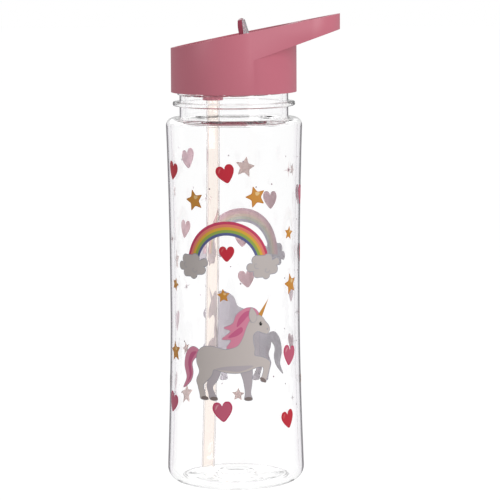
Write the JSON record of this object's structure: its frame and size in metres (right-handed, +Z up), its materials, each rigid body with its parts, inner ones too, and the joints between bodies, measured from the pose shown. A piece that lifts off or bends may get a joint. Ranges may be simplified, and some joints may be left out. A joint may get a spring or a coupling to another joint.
{
  "type": "kids water bottle",
  "caption": "Clear waisted plastic drinking bottle with a pink screw cap, slanted top, carry loop, flip spout and drinking straw.",
  "frame": {"origin": "centre of the base, on the plane that the bottle stands on", "axes": "+Z up along the bottle's axis, +X towards the carry loop, -Y towards the front"},
  "size_m": [0.0877, 0.069, 0.2357],
  "materials": {
    "clear_body": "clear polished copolyester",
    "cap_pink": "satin moulded polypropylene",
    "spout_pink": "glossy moulded polypropylene",
    "silicone": "frosted silicone",
    "mouthpiece_clear": "translucent soft silicone",
    "straw_tint": "translucent peach tube"
  },
  "bodies": {
    "bottle": {"bottle_body": "clear_body"},
    "gasket": {"neck_gasket": "silicone"},
    "cap": {"cap_shell": "cap_pink", "inner_cap": "cap_pink", "valve_seat": "silicone", "vent_valve": "silicone", "straw": "straw_tint"},
    "spout": {"flip_spout": "spout_pink", "mouthpiece": "mouthpiece_clear"}
  },
  "joints": [
    {"name": "cap_rise", "type": "slide", "parent": "bottle", "child": "gasket", "axis": [0, 0, 1], "range_m": [0, 0.006]},
    {"name": "cap_turn", "type": "hinge", "parent": "gasket", "child": "cap", "pos_m": [0, 0, 0.2], "axis": [0, 0, 1], "range_deg": [0, 540]},
    {"name": "spout_flip", "type": "hinge", "parent": "cap", "child": "spout", "pos_m": [-0.0106, 0, 0.2165], "axis": [0, -1, 0], "range_deg": [0, 78.66]}
  ],
  "couplings": [
    {"joint": "cap_rise", "follows": "cap_turn", "m_per_rad": 0.00063662}
  ]
}
